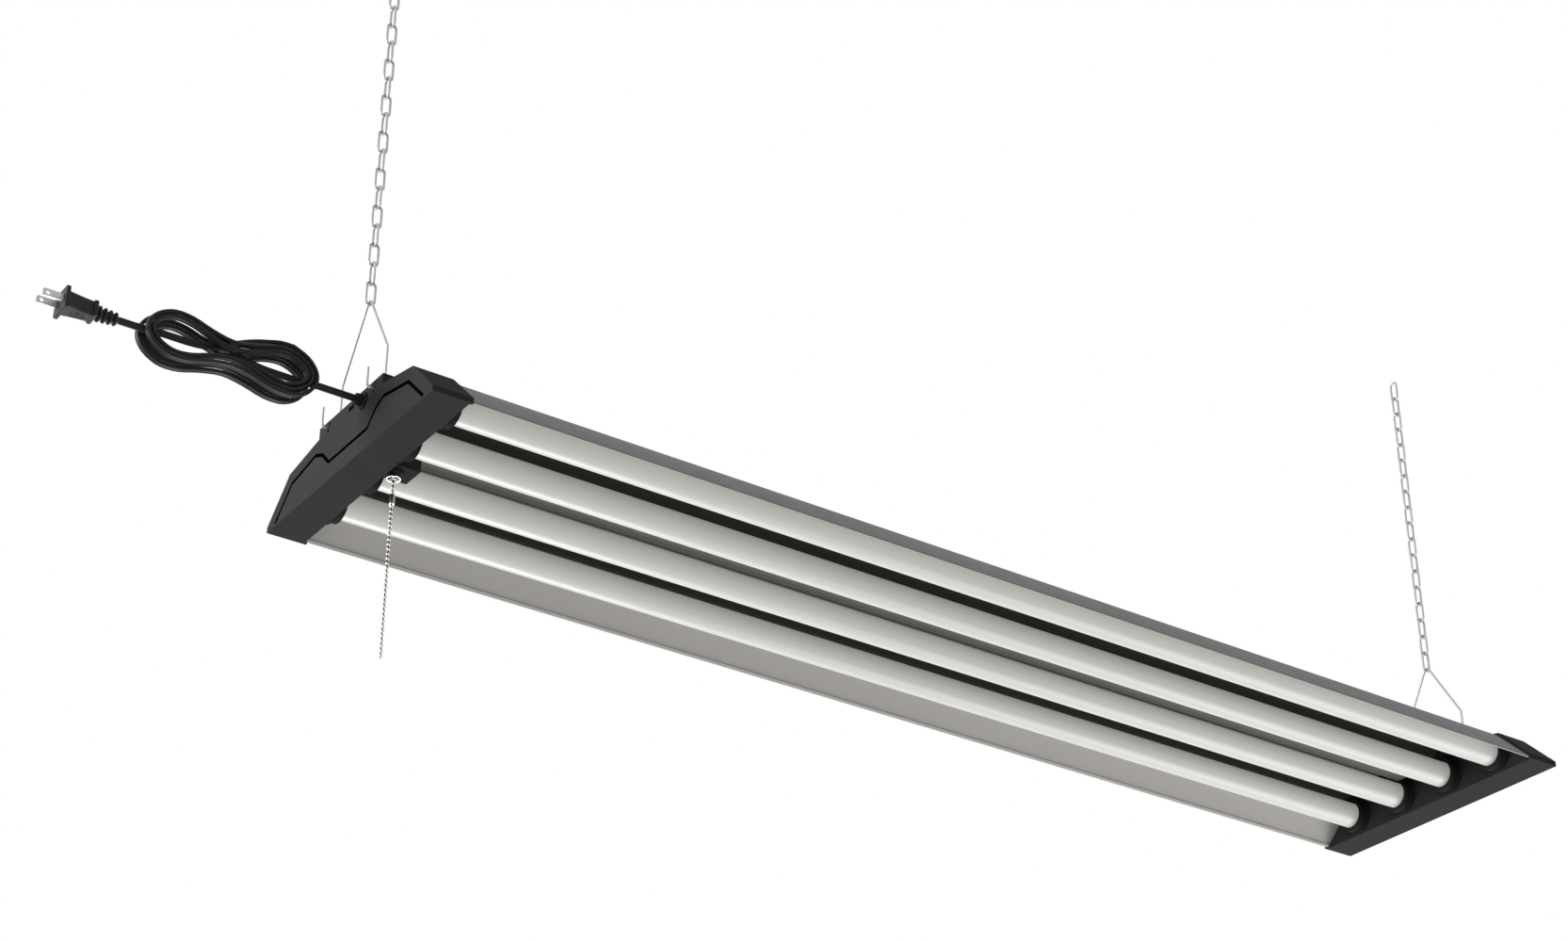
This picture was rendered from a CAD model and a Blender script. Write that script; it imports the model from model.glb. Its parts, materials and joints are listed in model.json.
import json
from math import acos, cos, hypot, pi, radians, sin

import bmesh
import bpy
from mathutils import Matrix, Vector

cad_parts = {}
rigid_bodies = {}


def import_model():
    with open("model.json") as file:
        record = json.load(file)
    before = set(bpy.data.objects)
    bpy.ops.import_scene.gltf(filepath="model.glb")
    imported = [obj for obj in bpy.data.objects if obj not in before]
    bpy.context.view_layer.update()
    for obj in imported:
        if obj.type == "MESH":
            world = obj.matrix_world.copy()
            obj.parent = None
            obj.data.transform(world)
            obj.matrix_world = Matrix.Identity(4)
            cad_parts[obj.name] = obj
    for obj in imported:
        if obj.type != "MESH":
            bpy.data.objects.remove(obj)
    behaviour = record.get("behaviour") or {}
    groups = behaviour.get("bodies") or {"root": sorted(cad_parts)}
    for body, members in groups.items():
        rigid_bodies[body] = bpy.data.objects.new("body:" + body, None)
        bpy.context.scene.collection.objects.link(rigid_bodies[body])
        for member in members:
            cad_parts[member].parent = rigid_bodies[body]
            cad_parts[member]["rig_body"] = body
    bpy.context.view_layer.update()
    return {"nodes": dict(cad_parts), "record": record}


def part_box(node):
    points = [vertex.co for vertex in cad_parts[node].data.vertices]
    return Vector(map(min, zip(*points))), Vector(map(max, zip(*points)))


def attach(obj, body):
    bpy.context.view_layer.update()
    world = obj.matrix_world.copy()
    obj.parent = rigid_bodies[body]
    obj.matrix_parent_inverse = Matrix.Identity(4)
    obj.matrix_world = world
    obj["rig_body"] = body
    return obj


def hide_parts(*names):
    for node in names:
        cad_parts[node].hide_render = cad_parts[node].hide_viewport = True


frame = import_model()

MM = 0.001

# Sizes in millimetres, measured as in the part: x from the middle of the light, y from its middle
# plane, z up from the undersides of the end caps

# The frame's origin at the hooks, the caps' outer faces, and the ends of the sheet and of the cover
HOOK_Z = 502.6
FACE_X = 625.0
SHEET_X = 605.5
COVER_X = 575.0

# Folded sheets: y and z of the upper side, from the outer edge towards the middle
SHEET_T = 0.9
SHEET_HALF = [(141.2, 2.2), (105.0, 37.4), (52.2, 46.9), (52.2, 56.3)]
SHEET_FOLD_R = 2.0
COVER_HALF = [(65.0, 43.7), (54.0, 45.6), (41.0, 44.7), (18.5, 29.9)]
COVER_FOLD_R = 2.2
HEM_W = 2.4
# Radius of the hem's turn, along its middle line
HEM_R = 0.55 * SHEET_T
HEM_STEPS = 8
# Points from the hem's edge whose stretch is pale like the underside
HEM_PALE = 5
SHEET_STATIONS = 20
# The sheet's darker middle starts this far inside its outer fold, and the cover's lighter channel this
# far outside its innermost fold
RECESS_INSET = 6
CHANNEL_RIM = 2

# Bounds of the middles of the faces in a cap's groove that lie in shade
GROOVE_NEAR_Y = -104
GROOVE_INNER_X = 623.0
GROOVE_OUTER_X = 624.9
GROOVE_LOW_Z = 2.4
GROOVE_TOP_Z = 47

# Flat two-core cord and the gland that it leaves by
CORD_W = 6.4
CORD_T = 3.2
CORD_Y = -22.4
CORD_Z = 48.4
GLAND_D = 13.44
GLAND_OUT = 1.6
GLAND_NOSE = 5.76
GLAND_FLANGE_R = 1.12 * GLAND_D / 2
GLAND_RIM = 0.6
GLAND_RIM_STEPS = 4
# Distance of the sleeve's inner end from the face, and its radius
SLEEVE_L = 7.8
SLEEVE_R = 0.41 * GLAND_D
# Places along the nose from the flange outwards, with its radius there
NOSE_RINGS = [(0, 5.5), (-0.5, 5.1), (-0.3 * GLAND_NOSE, 5.0), (-GLAND_NOSE + 0.7, 4.9),
              (-GLAND_NOSE + 0.2, 4.7), (-GLAND_NOSE, 4.3), (-GLAND_NOSE, 2.6)]

# Start of the cord at the gland, and middle of the hank
LEAD_X = -FACE_X - GLAND_OUT - GLAND_NOSE
HANK_X = -744.0
# Hank: half length, half height, the share of it that its waist takes away and how sharply, turns, the
# step inwards from turn to turn, how many times that it steps in height, and how far each of its two
# layers lies from its middle
HANK_A = 74.4
HANK_B = 34.5
HANK_PINCH = 0.57
WAIST_POWER = 6
HANK_TURNS = 5
HANK_STEP = 4.2
HANK_RISE = 1.4
LAYER_Y = 7.3
# How quickly the cord crosses from one layer to the other, in that distance a turn
CROSSING_RATE = 12
# Rings in a turn, rings of it that the way in replaces, and points from one ring to the next
TURN_RINGS = 24
JOINED_RINGS = 3
ROUTE_STEPS = 3
# Way in to the first turn, in shares of HANK_A, LAYER_Y and HANK_B, with the twist in quarter turns
MID = 0.27
ENTRY = [(1.14, 0, 0, 0), (1.05, 0, 0, 0), (0.98, 0.3 * MID, 0, 0), (0.89, 0.8 * MID, 0, 0),
         (0.78, MID, 0, 0), (0.6, MID, 0, 0), (0.45, MID, 0.005, 0), (0.3, MID, 0.04, 0),
         (0.15, MID, 0.13, 0), (0, MID, 0.27, 0), (-0.15, MID, 0.43, 0), (-0.29, MID, 0.555, 0.05),
         (-0.42, 0.4, 0.625, 0.2), (-0.54, 0.68, 0.665, 0.5), (-0.66, 0.92, 0.66, 0.85)]

# Plug and its strain relief, and how far from the relief the cord stops
RELIEF_X = -838.0
CORD_STOP = 1.5
RELIEF_L = 18.0
RIBS = 4
# Start and length of a rib as shares of the pitch, and how much larger than the next each is
RIB_START = 0.45
RIB_SHARE = 0.55
RIB_GROWTH = 0.07
PLUG_X = -856.0
PLUG_FACE_X = -884.0
PLUG_W = 24.0
PLUG_H = 19.0
PLUG_FLANGE = 3.2
FLANGE_EDGE = 0.3
# The body runs this far into each flange, and the relief into the rear one
BODY_LAP = 0.3
RELIEF_LAP = 0.4
# Half height of the body, the height over which its upper and lower faces count as flat, its width
# behind as a share of the plug's, and how that grows to the front
BODY_HALF_H = 0.37 * PLUG_H
BODY_FLAT_H = 0.32 * PLUG_H
BODY_WAIST = 0.56
BODY_TAPER = 0.08
BODY_FLARE = 0.24
BODY_STEPS = 64
BODY_POINTS = 160
# Cross-hatched oval: half length, half width, shift to the front, pitch, depth of the field, height of
# the ridges on it, and how quickly it sinks in from its edge
OVAL_A = 7.6
OVAL_B = 4.6
OVAL_SHIFT = 0.4
OVAL_PITCH = 1.5
OVAL_DEEP = 0.55
RIDGE_H = 0.5
OVAL_EDGE_RATE = 6

# Rounded edges of the mouldings: width, segments, and the sharpest angle that stays as it is
CAP_EDGE = 0.4
HOLDER_EDGE = 0.5
NUT_EDGE = 0.3
BLADE_EDGE = 0.2
EDGE_SEGMENTS = 2
EDGE_ANGLE = 40
# Before that, points this near in metres and faces this level in degrees are joined
WELD = 2e-6
LEVEL_ANGLE = 0.3

# Noise values between which a finish's roughness runs
NOISE_LOW = 0.3
NOISE_HIGH = 0.7

# Bead chain: distances from its axis where the rod's shade ends and the beads are fully bright
ROD_REACH = 0.55
BEAD_REACH = 1.1

# Floor, in metres: its height, half its side and its squares along a side; and the glow that the
# camera sees on it
FLOOR_Z = -9.0
FLOOR_HALF = 30.0
FLOOR_SQUARES = 8
FLOOR_GLOW = 0.5


def row(x, y, z):
    """The point of the row frame, in metres, at a place of the light in millimetres."""
    return Vector((x, y, z - HOOK_Z)) * MM


# Meshes

def place(name, data):
    """A new object in the scene, with that data."""
    made = bpy.data.objects.new(name, data)
    bpy.context.scene.collection.objects.link(made)
    return made


def add_piece(name, vertices, faces, material, body, *nodes, slot, smooth_angle=35):
    """A mesh piece on a body, standing for CAD nodes, smooth except at edges sharper than the angle."""
    mesh = bpy.data.meshes.new(name)
    mesh.from_pydata(vertices, [], faces)
    mesh.materials.append(material)
    piece = place(name, mesh)
    outward(mesh)
    smooth(mesh, smooth_angle)
    return dress(piece, body, nodes)


def outward(mesh):
    """Turns the faces of a mesh outwards."""
    shape = bmesh.new()
    shape.from_mesh(mesh)
    bmesh.ops.recalc_face_normals(shape, faces=shape.faces)
    shape.to_mesh(mesh)
    shape.free()


def smooth(mesh, angle):
    """Smooth shading, except at edges sharper than the angle in degrees."""
    mesh.shade_smooth()
    mesh.set_sharp_from_angle(angle=radians(angle))


def dress(piece, body, nodes):
    """Puts a piece on its body, in place of CAD nodes, with their material slot."""
    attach(piece, body)
    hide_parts(*nodes)
    return piece


def tube_faces(rings, around):
    """Faces of a tube with closed ends, whose rings follow each other in the list of points."""
    faces = []
    for i in range(rings - 1):
        for j in range(around):
            a = i * around + j
            b = i * around + (j + 1) % around
            faces.append((a, b, b + around, a + around))
    faces.append(tuple(range(around)))
    faces.append(tuple(range((rings - 1) * around, rings * around)))
    return faces


def softened(node, material, width):
    """A copy of a CAD node with its edges rounded, standing for that node."""
    source = frame["nodes"][node]
    mesh = source.data.copy()
    mesh.materials.clear()
    mesh.materials.append(material)
    shape = bmesh.new()
    shape.from_mesh(mesh)
    bmesh.ops.remove_doubles(shape, verts=shape.verts, dist=WELD)
    bmesh.ops.dissolve_limit(shape, angle_limit=radians(LEVEL_ANGLE), verts=shape.verts, edges=shape.edges)
    shape.to_mesh(mesh)
    shape.free()
    piece = place(node + "_soft", mesh)
    smooth(mesh, EDGE_ANGLE)
    bevel = piece.modifiers.new("edges", "BEVEL")
    bevel.width = width * MM
    bevel.segments = EDGE_SEGMENTS
    bevel.limit_method = "ANGLE"
    bevel.angle_limit = radians(EDGE_ANGLE)
    bevel.use_clamp_overlap = True
    bevel.harden_normals = True
    return dress(piece, source["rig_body"], [node])


# Materials: each is a principled shader, and what varies over the surface comes from nodes

class Finish:
    """One procedural material."""

    def __init__(self, name, color, roughness, metallic=0.0, specular=0.5, coat=0.0, coat_roughness=0.1):
        self.material = bpy.data.materials.new(name)
        self.material.use_nodes = True
        self.tree = self.material.node_tree
        self.shader = self.tree.nodes["Principled BSDF"]
        self.shader.inputs["Base Color"].default_value = (*color, 1)
        self.shader.inputs["Roughness"].default_value = roughness
        self.shader.inputs["Metallic"].default_value = metallic
        self.shader.inputs["Specular IOR Level"].default_value = specular
        self.shader.inputs["Coat Weight"].default_value = coat
        self.shader.inputs["Coat Roughness"].default_value = coat_roughness
        self.color = color
        self.place = self.tree.nodes.new("ShaderNodeTexCoord").outputs["Object"]

    def noise(self, scale, detail=3.0, stretch=(1, 1, 1)):
        """Noise over the piece, in spots a metre, stretched along an axis by a share under 1."""
        mapping = self.tree.nodes.new("ShaderNodeMapping")
        mapping.inputs["Scale"].default_value = stretch
        self.tree.links.new(self.place, mapping.inputs["Vector"])
        made = self.tree.nodes.new("ShaderNodeTexNoise")
        made.inputs["Scale"].default_value = scale
        made.inputs["Detail"].default_value = detail
        self.tree.links.new(mapping.outputs["Vector"], made.inputs["Vector"])
        return made.outputs["Fac"]

    def tone(self, pattern, low, high):
        """The colour runs with the pattern from low to high times its plain value."""
        mix = self.tree.nodes.new("ShaderNodeMix")
        mix.data_type = "RGBA"
        mix.inputs[6].default_value = (*[c * low for c in self.color], 1)
        mix.inputs[7].default_value = (*[c * high for c in self.color], 1)
        self.tree.links.new(pattern, mix.inputs[0])
        self.tree.links.new(mix.outputs[2], self.shader.inputs["Base Color"])

    def vary_roughness(self, pattern, low, high):
        """The roughness runs from low to high over the middle range of the pattern."""
        spread = self.tree.nodes.new("ShaderNodeMapRange")
        spread.inputs["From Min"].default_value = NOISE_LOW
        spread.inputs["From Max"].default_value = NOISE_HIGH
        spread.inputs["To Min"].default_value = low
        spread.inputs["To Max"].default_value = high
        self.tree.links.new(pattern, spread.inputs["Value"])
        self.tree.links.new(spread.outputs["Result"], self.shader.inputs["Roughness"])

    def relief(self, pattern, depth, strength):
        """Fine relief that many millimetres deep."""
        made = self.tree.nodes.new("ShaderNodeBump")
        made.inputs["Distance"].default_value = depth * MM
        made.inputs["Strength"].default_value = strength
        self.tree.links.new(pattern, made.inputs["Height"])
        self.tree.links.new(made.outputs["Normal"], self.shader.inputs["Normal"])


def painted_sheet(name, color, roughness):
    """Baked enamel on steel, with a faint orange peel."""
    made = Finish(name, color, roughness, specular=0.03)
    made.tone(made.noise(scale=9, stretch=(0.4, 1, 1)), low=0.96, high=1.04)
    made.vary_roughness(made.noise(scale=60), low=roughness - 0.05, high=roughness + 0.05)
    made.relief(made.noise(scale=900, detail=2), depth=0.02, strength=0.5)
    return made.material


def moulded_plastic(name, color, roughness, specular=0.004):
    """Moulded plastic with a fine spark-eroded grain."""
    made = Finish(name, color, roughness, specular=specular)
    made.tone(made.noise(scale=25), low=0.92, high=1.08)
    made.vary_roughness(made.noise(scale=200, detail=4), low=roughness - 0.06, high=roughness + 0.06)
    made.relief(made.noise(scale=1400, detail=4), depth=0.04, strength=0.6)
    return made.material


def lamp_glass():
    """White phosphor behind clear glass. A faint glow stands for the light that spreads inside the tube."""
    made = Finish("lamp_glass", (0.39, 0.386, 0.366), 0.4, specular=0.4, coat=0.35, coat_roughness=0.4)
    made.tone(made.noise(scale=5, stretch=(0.3, 2, 2)), low=0.985, high=1.01)
    made.vary_roughness(made.noise(scale=700, detail=2), low=0.26, high=0.34)
    made.shader.inputs["Sheen Weight"].default_value = 1.0
    made.shader.inputs["Sheen Roughness"].default_value = 0.35
    made.shader.inputs["Emission Color"].default_value = (1, 0.99, 0.94, 1)
    made.shader.inputs["Emission Strength"].default_value = 0.23
    return made.material


def bare_metal(name, color, roughness, stretch=(1, 1, 1), scale=600, depth=0.01):
    """Metal with fine drawn or spun marks along one way."""
    made = Finish(name, color, roughness, metallic=1.0)
    made.tone(made.noise(scale=120), low=0.9, high=1.06)
    made.vary_roughness(made.noise(scale=scale, stretch=stretch), low=roughness * 0.75, high=roughness * 1.3)
    made.relief(made.noise(scale=scale, stretch=stretch), depth=depth, strength=0.5)
    return made.material


def cord_vinyl(name, color, roughness):
    """Soft vinyl with the faint drag marks of its making."""
    made = Finish(name, color, roughness, specular=0.15)
    made.tone(made.noise(scale=60), low=0.9, high=1.1)
    made.vary_roughness(made.noise(scale=250, detail=2), low=roughness - 0.04, high=roughness + 0.04)
    made.relief(made.noise(scale=900, detail=2), depth=0.02, strength=0.4)
    return made.material


def beaded_chrome(name, color, roughness):
    """Bright beads on a thin rod that lies in their shade, told apart by the distance from the axis."""
    made = Finish(name, color, roughness, metallic=1.0)
    made.vary_roughness(made.noise(scale=600), low=roughness * 0.75, high=roughness * 1.3)
    made.relief(made.noise(scale=600), depth=0.003, strength=0.5)
    mapping = made.tree.nodes.new("ShaderNodeMapping")
    middle = sum((Vector(corner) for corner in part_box("bead_chain")), Vector()) / 2
    mapping.inputs["Location"].default_value = (-middle.x, -middle.y, 0)
    mapping.inputs["Scale"].default_value = (1, 1, 0)
    made.tree.links.new(made.place, mapping.inputs["Vector"])
    reach = made.tree.nodes.new("ShaderNodeVectorMath")
    reach.operation = "LENGTH"
    made.tree.links.new(mapping.outputs["Vector"], reach.inputs[0])
    spread = made.tree.nodes.new("ShaderNodeMapRange")
    spread.inputs["From Min"].default_value = ROD_REACH * MM
    spread.inputs["From Max"].default_value = BEAD_REACH * MM
    made.tree.links.new(reach.outputs["Value"], spread.inputs["Value"])
    made.tone(spread.outputs["Result"], low=0.02, high=1)
    return made.material


MATERIALS = {
    "sheet": painted_sheet("sheet_grey", (0.245, 0.245, 0.25), 0.5),
    "reflector": painted_sheet("sheet_white", (0.46, 0.445, 0.425), 0.36),
    "recess": painted_sheet("sheet_recess", (0.045, 0.043, 0.04), 0.5),
    "cover": painted_sheet("sheet_cover", (0.14, 0.133, 0.123), 0.5),
    "screw_steel": bare_metal("screw_steel", (0.55, 0.54, 0.52), 0.35),
    "ballast_case": painted_sheet("ballast_black", (0.03, 0.03, 0.032), 0.45),
    "wire_insulation": cord_vinyl("wire_white", (0.6, 0.6, 0.57), 0.45),
    "cap_plastic": moulded_plastic("cap_plastic", (0.036, 0.036, 0.036), 0.6),
    "groove": moulded_plastic("groove_shade", (0.001, 0.001, 0.001), 0.9, specular=0),
    "holder_plastic": moulded_plastic("holder_plastic", (0.024, 0.024, 0.024), 0.5),
    "contact_brass": bare_metal("contact_brass", (0.66, 0.48, 0.22), 0.3),
    "lamp_glass": lamp_glass(),
    "lamp_metal": bare_metal("lamp_metal", (0.62, 0.62, 0.6), 0.3),
    "rotor_plastic": moulded_plastic("rotor_plastic", (0.6, 0.6, 0.58), 0.4),
    "bright_chrome": bare_metal("bright_chrome", (0.72, 0.71, 0.69), 0.09, depth=0.003),
    "bead_chain": beaded_chrome("beaded_chrome", (0.62, 0.61, 0.59), 0.16),
    "cord_vinyl": cord_vinyl("cord_vinyl", (0.018, 0.018, 0.018), 0.42),
    "plug_vinyl": cord_vinyl("plug_vinyl", (0.025, 0.025, 0.025), 0.55),
    "blade_metal": bare_metal("blade_metal", (0.46, 0.455, 0.44), 0.45, stretch=(0.1, 1, 1), depth=0.002),
    "wire_zinc": bare_metal("wire_zinc", (0.42, 0.42, 0.42), 0.48, scale=900, depth=0.02),
}
SLOTS = {s["node"]: s["material_slot"] for s in frame["record"]["subparts"]}


# Camera, light and floor

def add_camera():
    """Camera solved from the photograph."""
    data = bpy.data.cameras.new("camera")
    data.lens = 68.21
    data.sensor_width = 36
    data.sensor_fit = "HORIZONTAL"
    data.clip_end = 60
    camera = place("camera", data)
    camera.location = (-1.5240, -1.9014, -1.6755)
    camera.rotation_euler = (radians(119.37), 0, radians(-34.92))
    bpy.context.scene.camera = camera


def add_light(name, location, aim, size, power):
    """Square soft light of that size in metres and power in watts, unseen itself."""
    data = bpy.data.lights.new(name, "AREA")
    data.size = size
    data.energy = power
    light = place(name, data)
    light.location = location
    light.rotation_euler = (Vector(aim) - Vector(location)).to_track_quat("-Z", "Y").to_euler()
    light.visible_camera = False


def seen_by_eye(tree):
    """1 for rays that come from the camera, a mirror or clear glass."""
    path = tree.nodes.new("ShaderNodeLightPath")
    total = path.outputs["Is Camera Ray"]
    for kind in ["Is Glossy Ray", "Is Transmission Ray"]:
        most = tree.nodes.new("ShaderNodeMath")
        most.operation = "MAXIMUM"
        tree.links.new(total, most.inputs[0])
        tree.links.new(path.outputs[kind], most.inputs[1])
        total = most.outputs[0]
    return total


def add_world(ambient):
    """White backdrop that lights the scene with a part of the strength that the eye sees."""
    world = bpy.data.worlds.new("studio")
    bpy.context.scene.world = world
    world.use_nodes = True
    tree = world.node_tree
    backdrop = tree.nodes["Background"]
    backdrop.inputs["Color"].default_value = (1, 1, 1, 1)
    strength = tree.nodes.new("ShaderNodeMapRange")
    strength.inputs["To Min"].default_value = ambient
    strength.inputs["To Max"].default_value = 1.0
    tree.links.new(seen_by_eye(tree), strength.inputs["Value"])
    tree.links.new(strength.outputs["Result"], backdrop.inputs["Strength"])


def add_floor():
    """Pale floor far below the light, brighter where the camera sees it."""
    finish = Finish("floor", (0.82, 0.82, 0.81), 0.6, specular=0.2)
    finish.tone(finish.noise(scale=0.8), low=0.99, high=1.01)
    finish.relief(finish.noise(scale=30), depth=0.2, strength=0.2)
    lift = finish.tree.nodes.new("ShaderNodeMath")
    lift.operation = "MULTIPLY"
    lift.inputs[1].default_value = FLOOR_GLOW
    finish.tree.links.new(seen_by_eye(finish.tree), lift.inputs[0])
    finish.shader.inputs["Emission Color"].default_value = (1, 1, 1, 1)
    finish.tree.links.new(lift.outputs[0], finish.shader.inputs["Emission Strength"])
    lines = [FLOOR_HALF * (2 * i / FLOOR_SQUARES - 1) for i in range(FLOOR_SQUARES + 1)]
    points = [(x, y, FLOOR_Z) for x in lines for y in lines]
    faces = []
    for i in range(FLOOR_SQUARES):
        for j in range(FLOOR_SQUARES):
            a = i * len(lines) + j
            b = a + len(lines)
            faces.append((a, b, b + 1, a + 1))
    mesh = bpy.data.meshes.new("floor")
    mesh.from_pydata(points, [], faces)
    mesh.materials.append(finish.material)
    place("floor", mesh)


bpy.context.scene.view_settings.view_transform = "Standard"
add_camera()
add_world(ambient=0.46)
add_light("far_low_light", location=(0.15, 1.72, -2.3), aim=(0, 0, -0.48), size=1.5, power=52)
add_light("side_light", location=(-3.1, 0.8, -0.1), aim=(-0.6, 0, -0.45), size=1.5, power=106)
add_light("right_low_light", location=(2.3, -0.3, -2.4), aim=(0.6, 0, -0.48), size=1.8, power=38)
add_floor()


# Cord: a flat two-core lead, straight out of the cap into a folded hank and on to its plug

def hank_turn(v):
    """Centre of the cord at turn v of the hank, from the hank's middle."""
    angle = radians(90 + 360 * v)
    inset = HANK_STEP * max(0, min(v, HANK_TURNS - v))
    side = LAYER_Y * max(-1, min(1, (HANK_TURNS / 2 - v) * CROSSING_RATE))
    height = HANK_B * (1 - HANK_PINCH * sin(angle) ** WAIST_POWER) - HANK_RISE * inset
    return Vector(((HANK_A - inset) * cos(angle), side, sin(angle) * height))


def hank_points():
    """Centres of the cord with its twist, from the cap's side of the hank to the plug's side."""
    entry = [(Vector((along * HANK_A, side * LAYER_Y, up * HANK_B)), twist)
             for along, side, up, twist in ENTRY]
    leaving = [(Vector((-p.x, -p.y, p.z)), twist) for p, twist in reversed(entry)]
    rings = range(JOINED_RINGS, TURN_RINGS * HANK_TURNS - JOINED_RINGS + 1)
    turns = [(hank_turn(i / TURN_RINGS), 1) for i in rings]
    return [(Vector((HANK_X, CORD_Y, CORD_Z)) + p, twist) for p, twist in entry + turns + leaving]


def between(a, b, c, d, s):
    """A smooth step from b to c, with a before and d after them."""
    squared = 2 * a - 5 * b + 4 * c - d
    cubed = 3 * b - a - 3 * c + d
    return 0.5 * (2 * b + (c - a) * s + squared * s * s + cubed * s ** 3)


def cord_route():
    """Centres of the cord, close together, in millimetres, and its wide way and run at each."""
    hank = hank_points()
    start = Vector((LEAD_X, CORD_Y, CORD_Z))
    stop = Vector((RELIEF_X + CORD_STOP, CORD_Y, CORD_Z))
    lead = [(start, 0), (start.lerp(hank[0][0], 0.5), 0)]
    tail = [(hank[-1][0].lerp(stop, 0.5), 0), (stop, 0)]
    keys = lead + hank + tail
    last = len(keys) - 1
    route = []
    for i in range(last):
        four = [keys[max(i - 1, 0)], keys[i], keys[i + 1], keys[min(i + 2, last)]]
        for k in range(ROUTE_STEPS):
            s = k / ROUTE_STEPS
            point = between(*[f[0] for f in four], s)
            twist = four[1][1] * (1 - s) + four[2][1] * s
            route.append((point, twist, i < last / 2))
    route.append((stop, 0, False))
    points = [r[0] for r in route]
    ways = []
    for i, (point, twist, first_half) in enumerate(route):
        run = (points[min(i + 1, len(points) - 1)] - points[max(i - 1, 0)]).normalized()
        wide = Vector((0, sin(twist * pi / 2), (1 if first_half else -1) * cos(twist * pi / 2)))
        ways.append(((wide - wide.dot(run) * run).normalized(), run))
    return points, ways


def cord_section():
    """Section of the cord: two round cores side by side, with a groove between them."""
    radius = CORD_T / 2
    centre = (CORD_W - CORD_T) / 2
    web = 0.6 * radius
    sweep = radians(130)
    steps = 11
    angles = [sweep * (2 * i / steps - 1) for i in range(steps + 1)]
    half = [(centre + radius * cos(t), radius * sin(t)) for t in angles]
    return half + [(0, web)] + [(-a, -b) for a, b in half] + [(0, -web)]


def add_cord():
    """The whole cord as one tube, with its path in metres and its length."""
    points, ways = cord_route()
    section = cord_section()
    vertices = []
    for point, (wide, run) in zip(points, ways):
        thin = run.cross(wide)
        for a, b in section:
            vertices.append(row(*(point + a * wide + b * thin)))
    faces = tube_faces(len(points), len(section))
    cord = add_piece("cord", vertices, faces, MATERIALS["cord_vinyl"], "housing",
                     "cord_lead", "cord_hank", "cord_tail", slot="cord_vinyl", smooth_angle=60)
    path = [row(*p) for p in points]
    length = sum((b - a).length for a, b in zip(path, path[1:]))
    return cord, path, length


# Plug and gland, moulded round the cord

def squared_ring(x, half_y, half_z, power, count=72):
    """Points of a rounded rectangle's outline, square to the cord at x: a power of 2 makes it round."""
    ring = []
    for i in range(count):
        angle = 2 * pi * (i + 0.5) / count
        c = cos(angle)
        s = sin(angle)
        ring.append((x, half_y * abs(c) ** (2 / power) * (1 if c > 0 else -1),
                     half_z * abs(s) ** (2 / power) * (1 if s > 0 else -1)))
    return ring


def rounded_block(x0, x1, half_y0, half_y1, half_z, power, edge):
    """Rings of a moulded block from x0 to x1, its edges rounded, its width running between two values."""
    way = 1 if x1 > x0 else -1
    turns = [k / 3 * pi / 2 for k in range(4)]
    rings = []
    for turn in turns:
        inset = edge * (1 - sin(turn))
        rings.append(squared_ring(x0 + way * edge * (1 - cos(turn)), half_y0 - inset, half_z - inset, power))
    for turn in turns:
        inset = edge * (1 - cos(turn))
        rings.append(squared_ring(x1 - way * edge * (1 - sin(turn)), half_y1 - inset, half_z - inset, power))
    return rings


def moulding(blocks):
    """Vertices and faces of blocks of rings round the cord's line."""
    vertices = []
    faces = []
    for rings in blocks:
        first = len(vertices)
        for ring in rings:
            vertices += [row(x, CORD_Y + y, CORD_Z + z) for x, y, z in ring]
        faces += [tuple(first + v for v in f) for f in tube_faces(len(rings), len(rings[0]))]
    return vertices, faces


def plug_body_rings():
    """Rings of the plug's waisted body, with a cross-hatched oval on its upper and lower faces."""
    x0 = PLUG_X - PLUG_FLANGE + BODY_LAP
    x1 = PLUG_FACE_X + PLUG_FLANGE - BODY_LAP
    middle = (x0 + x1) / 2 - OVAL_SHIFT
    rings = []
    for i in range(BODY_STEPS + 1):
        s = i / BODY_STEPS
        half_y = PLUG_W / 2 * (BODY_WAIST + BODY_TAPER * s + BODY_FLARE * s ** 1.5)
        ring = []
        for x, y, z in squared_ring(x0 + (x1 - x0) * s, half_y, BODY_HALF_H, power=5, count=BODY_POINTS):
            reach = ((x - middle) / OVAL_A) ** 2 + (y / OVAL_B) ** 2
            if reach < 1 and abs(z) > BODY_FLAT_H:
                ridges = max(abs(sin(pi * (x + y) / OVAL_PITCH)), abs(sin(pi * (x - y) / OVAL_PITCH)))
                deep = OVAL_DEEP - RIDGE_H * ridges * ridges
                z -= deep * (1 if z > 0 else -1) * min(1, OVAL_EDGE_RATE * (1 - reach))
            ring.append((x, y, z))
        rings.append(ring)
    return rings


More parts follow.
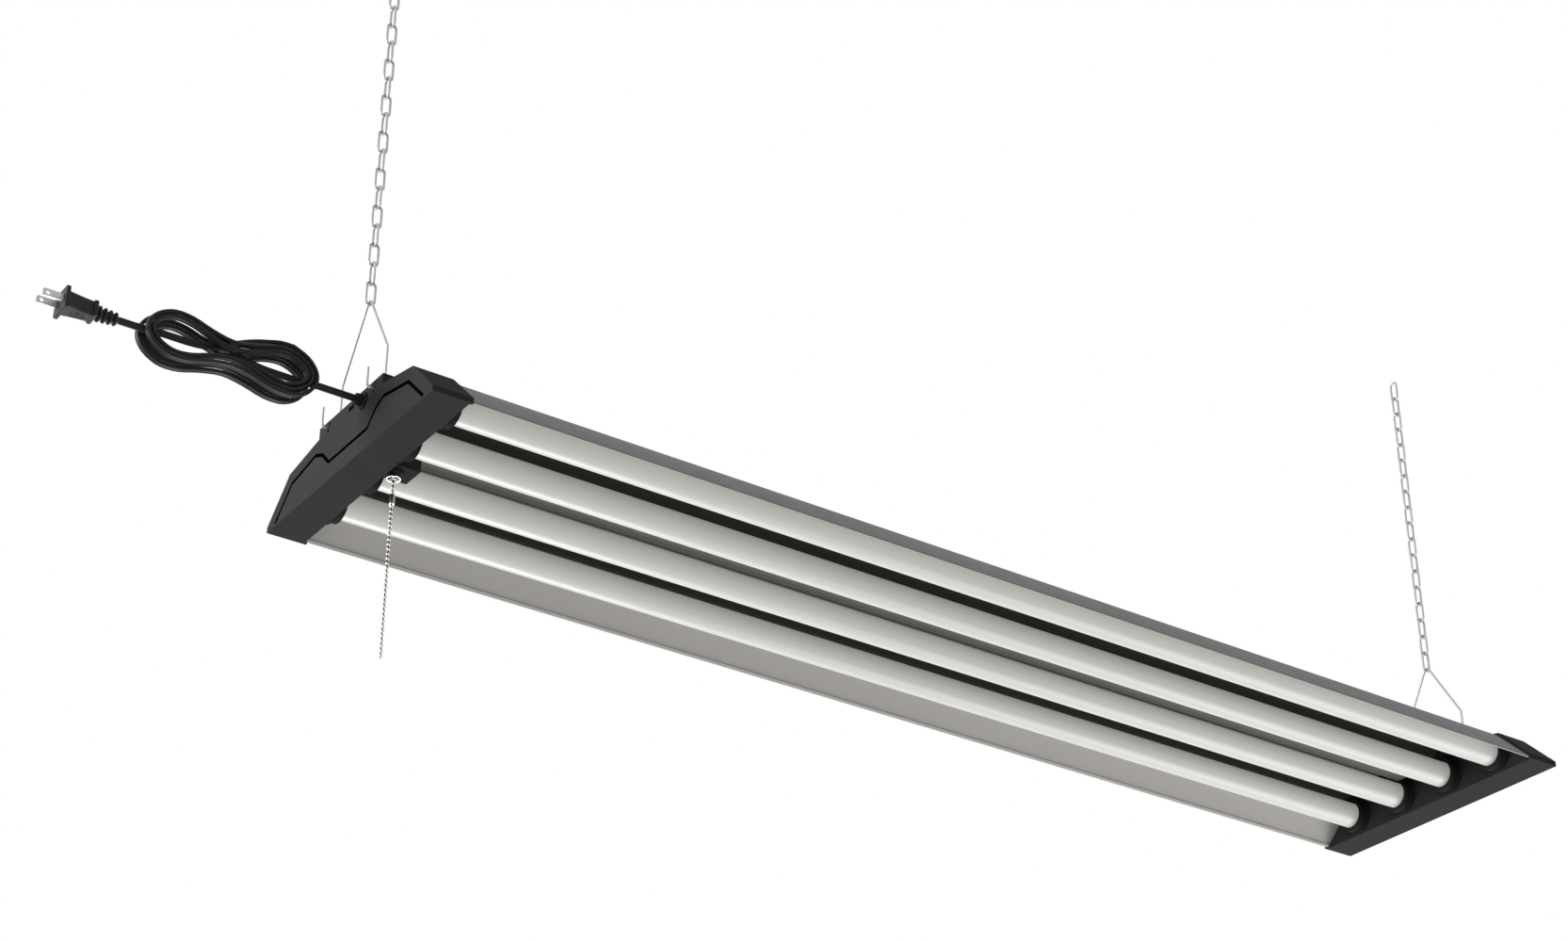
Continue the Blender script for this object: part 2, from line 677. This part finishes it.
def add_plug():
    """The plug's body, flanges and ribbed strain relief, as one moulding."""
    rear_half_w = 0.33 * PLUG_W
    blocks = [plug_body_rings()]
    blocks.append(rounded_block(PLUG_X, PLUG_X - PLUG_FLANGE, rear_half_w, rear_half_w,
                                BODY_HALF_H, power=14, edge=FLANGE_EDGE))
    blocks.append(rounded_block(PLUG_FACE_X + PLUG_FLANGE, PLUG_FACE_X, PLUG_W / 2, PLUG_W / 2,
                                PLUG_H / 2, power=16, edge=FLANGE_EDGE))
    blocks.append(rounded_block(PLUG_X - RELIEF_LAP, RELIEF_X, CORD_T * 1.05, CORD_T * 0.85,
                                0.63 * CORD_W, power=3, edge=0.8))
    pitch = RELIEF_L / RIBS
    for i in range(RIBS):
        grow = 1 + RIB_GROWTH * (RIBS - 1 - i)
        x0 = PLUG_X + (i + RIB_START) * pitch
        blocks.append(rounded_block(x0, x0 + RIB_SHARE * pitch, 1.5 * CORD_T * grow, 1.42 * CORD_T * grow,
                                    0.84 * CORD_W * grow, power=2.6, edge=1.1))
    vertices, faces = moulding(blocks)
    return add_piece("plug", vertices, faces, MATERIALS["plug_vinyl"], "housing", "plug_body",
                     slot="plug_vinyl", smooth_angle=40)


def add_strain_relief():
    """Gland in the cap's face: an inner sleeve, a round flange with a rounded rim, and a short nose."""
    rings = []
    for x, r in [(SLEEVE_L, SLEEVE_R), (0.05, SLEEVE_R), (0, 0.45 * GLAND_D), (0, GLAND_FLANGE_R)]:
        rings.append(squared_ring(-FACE_X + x, r, r, 2))
    for k in range(GLAND_RIM_STEPS + 1):
        turn = k / GLAND_RIM_STEPS * pi / 2
        r = GLAND_FLANGE_R - GLAND_RIM * (1 - cos(turn))
        rings.append(squared_ring(-FACE_X - GLAND_OUT + GLAND_RIM - GLAND_RIM * sin(turn), r, r, 2))
    for x, r in NOSE_RINGS:
        rings.append(squared_ring(-FACE_X - GLAND_OUT + x, r, r, 2))
    vertices, faces = moulding([rings])
    return add_piece("gland", vertices, faces, MATERIALS["holder_plastic"],
                     "housing", "strain_relief", slot="cord_vinyl")


cord, cord_path, cord_length = add_cord()
plug = add_plug()
add_strain_relief()


# Folded sheets: the middle line of the sheet's section, rounded at its folds and thickened to both sides

def rounded_line(points, radius, steps=5):
    """The line with each inner corner turned into an arc, that takes under half of each side."""
    line = [points[0]]
    for before, corner, after in zip(points, points[1:], points[2:]):
        a = (before - corner).normalized()
        b = (after - corner).normalized()
        half = acos(max(-1, min(1, a.dot(b)))) / 2
        reach = min(radius / (sin(half) / cos(half)), 0.45 * (before - corner).length,
                    0.45 * (after - corner).length)
        r = reach * sin(half) / cos(half)
        centre = corner + (a + b).normalized() * (r / sin(half))
        first = corner + a * reach - centre
        sweep = pi - 2 * half
        side = 1 if first.cross(corner + b * reach - centre) > 0 else -1
        for k in range(steps + 1):
            t = side * sweep * k / steps
            turned = Vector((first.x * cos(t) - first.y * sin(t), first.x * sin(t) + first.y * cos(t)))
            line.append(centre + turned)
    line.append(points[-1])
    return line


def flipped(points):
    """The points mirrored in the middle plane, in reverse."""
    return [Vector((-p.x, p.y)) for p in reversed(points)]


def left_of(way):
    """The direction a quarter turn to the left of that one."""
    return Vector((-way.y, way.x))


def normals(line):
    """Directions square to a line at its points."""
    made = []
    last = len(line) - 1
    for i in range(last + 1):
        run = (line[min(i + 1, last)] - line[max(i - 1, 0)]).normalized()
        made.append(left_of(run))
    return made


def folded_sheet(name, line, end_x, inner_spans, inner_y, materials, node):
    """A long sheet along x. Its inner face and inner_spans have the second material, or nearer the
    middle than inner_y the third."""
    across = normals(line)
    count = len(line)
    section = [p - n * SHEET_T / 2 for p, n in zip(line, across)]
    section += [p + n * SHEET_T / 2 for p, n in reversed(list(zip(line, across)))]
    around = len(section)
    stations = [end_x * (2 * i / SHEET_STATIONS - 1) for i in range(SHEET_STATIONS + 1)]
    vertices = [row(x, p.x, p.y) for x in stations for p in section]
    piece = add_piece(name, vertices, tube_faces(len(stations), around), materials[0], "housing",
                      node, slot="sheet", smooth_angle=30)
    mesh = piece.data
    for material in materials[1:]:
        mesh.materials.append(material)
    for face in mesh.polygons:
        if len(face.vertices) != 4:
            continue
        places = [v % around for v in face.vertices]
        if min(places) >= count or any(a <= min(places) and max(places) <= b for a, b in inner_spans):
            face.material_index = 1 if abs(face.center.y) > inner_y * MM else 2
    return piece


def add_housing():
    """Grey outside and white inside, with a closed hem folded in along each wing tip."""
    outer = [Vector(p) for p in SHEET_HALF]
    wing = (outer[1] - outer[0]).normalized()
    middle = []
    for i, p in enumerate(outer):
        before = outer[i - 1] if i else p - wing
        after = outer[i + 1] if i + 1 < len(outer) else p + Vector((-1, 0))
        na = left_of((p - before).normalized())
        nb = left_of((after - p).normalized())
        middle.append(p + SHEET_T / 2 * (na + nb) / (1 + na.dot(nb)))
    n = left_of(wing)
    centre = middle[0] + wing * (HEM_R + SHEET_T / 2) + n * HEM_R
    hem = [centre + wing * HEM_W + n * HEM_R]
    for k in range(HEM_STEPS + 1):
        t = pi * k / HEM_STEPS
        hem.append(centre + n * HEM_R * cos(t) - wing * HEM_R * sin(t))
    half = hem + rounded_line(middle, SHEET_FOLD_R)[1:]
    line = half + flipped(half)
    last = len(line) - 1
    spans = [(0, HEM_PALE), (last - HEM_PALE, last)]
    return folded_sheet("housing", line, SHEET_X, spans, SHEET_HALF[1][0] - RECESS_INSET,
                        [MATERIALS[m] for m in ["sheet", "reflector", "recess"]], "housing_shell")


def add_ballast_cover():
    """Dark cover under the spine, its channel a little lighter."""
    low = [Vector(p) - Vector((0, SHEET_T / 2)) for p in COVER_HALF]
    line = rounded_line(low + flipped(low), COVER_FOLD_R)
    return folded_sheet("ballast_cover_folded", line, COVER_X, [(0, len(line))],
                        COVER_HALF[3][0] + CHANNEL_RIM,
                        [MATERIALS[m] for m in ["recess", "recess", "cover"]], "ballast_cover")


add_housing()
add_ballast_cover()


# Mouldings and metal parts: CAD nodes with rounded edges, and the others with their own finishes

def sheet_top(y):
    """Height of the sheet's outer side at that distance from the middle plane."""
    for (y0, z0), (y1, z1) in zip(SHEET_HALF, SHEET_HALF[1:]):
        if y1 < y <= y0:
            return z0 + (z1 - z0) * (y0 - y) / (y0 - y1)
    return SHEET_HALF[-1][1] if y <= SHEET_HALF[-1][0] else 0


def darken_groove(cap):
    """The walls and floor of the groove in a cap's face lie in deep shade."""
    cap.data.materials.append(MATERIALS["groove"])
    for face in cap.data.polygons:
        x, y, z = face.center / MM
        z += HOOK_Z
        in_depth = GROOVE_INNER_X < abs(x) < GROOVE_OUTER_X
        in_height = GROOVE_LOW_Z < z < min(GROOVE_TOP_Z, sheet_top(abs(y)))
        off_gland = hypot(y - CORD_Y, z - CORD_Z) > GLAND_D / 2
        if y > GROOVE_NEAR_Y and in_depth and in_height and off_gland:
            face.material_index = 1


for node in ["end_cap_left", "end_cap_right"]:
    darken_groove(softened(node, MATERIALS["cap_plastic"], CAP_EDGE))
for node in ["lampholders_left", "lampholders_right", "switch_box"]:
    softened(node, MATERIALS["holder_plastic"], HOLDER_EDGE)
softened("switch_nut", MATERIALS["holder_plastic"], NUT_EDGE)
softened("plug_blades", MATERIALS["blade_metal"], BLADE_EDGE)

for node, piece in frame["nodes"].items():
    piece.data.materials.clear()
    piece.data.materials.append(MATERIALS.get(node, MATERIALS[SLOTS[node]]))
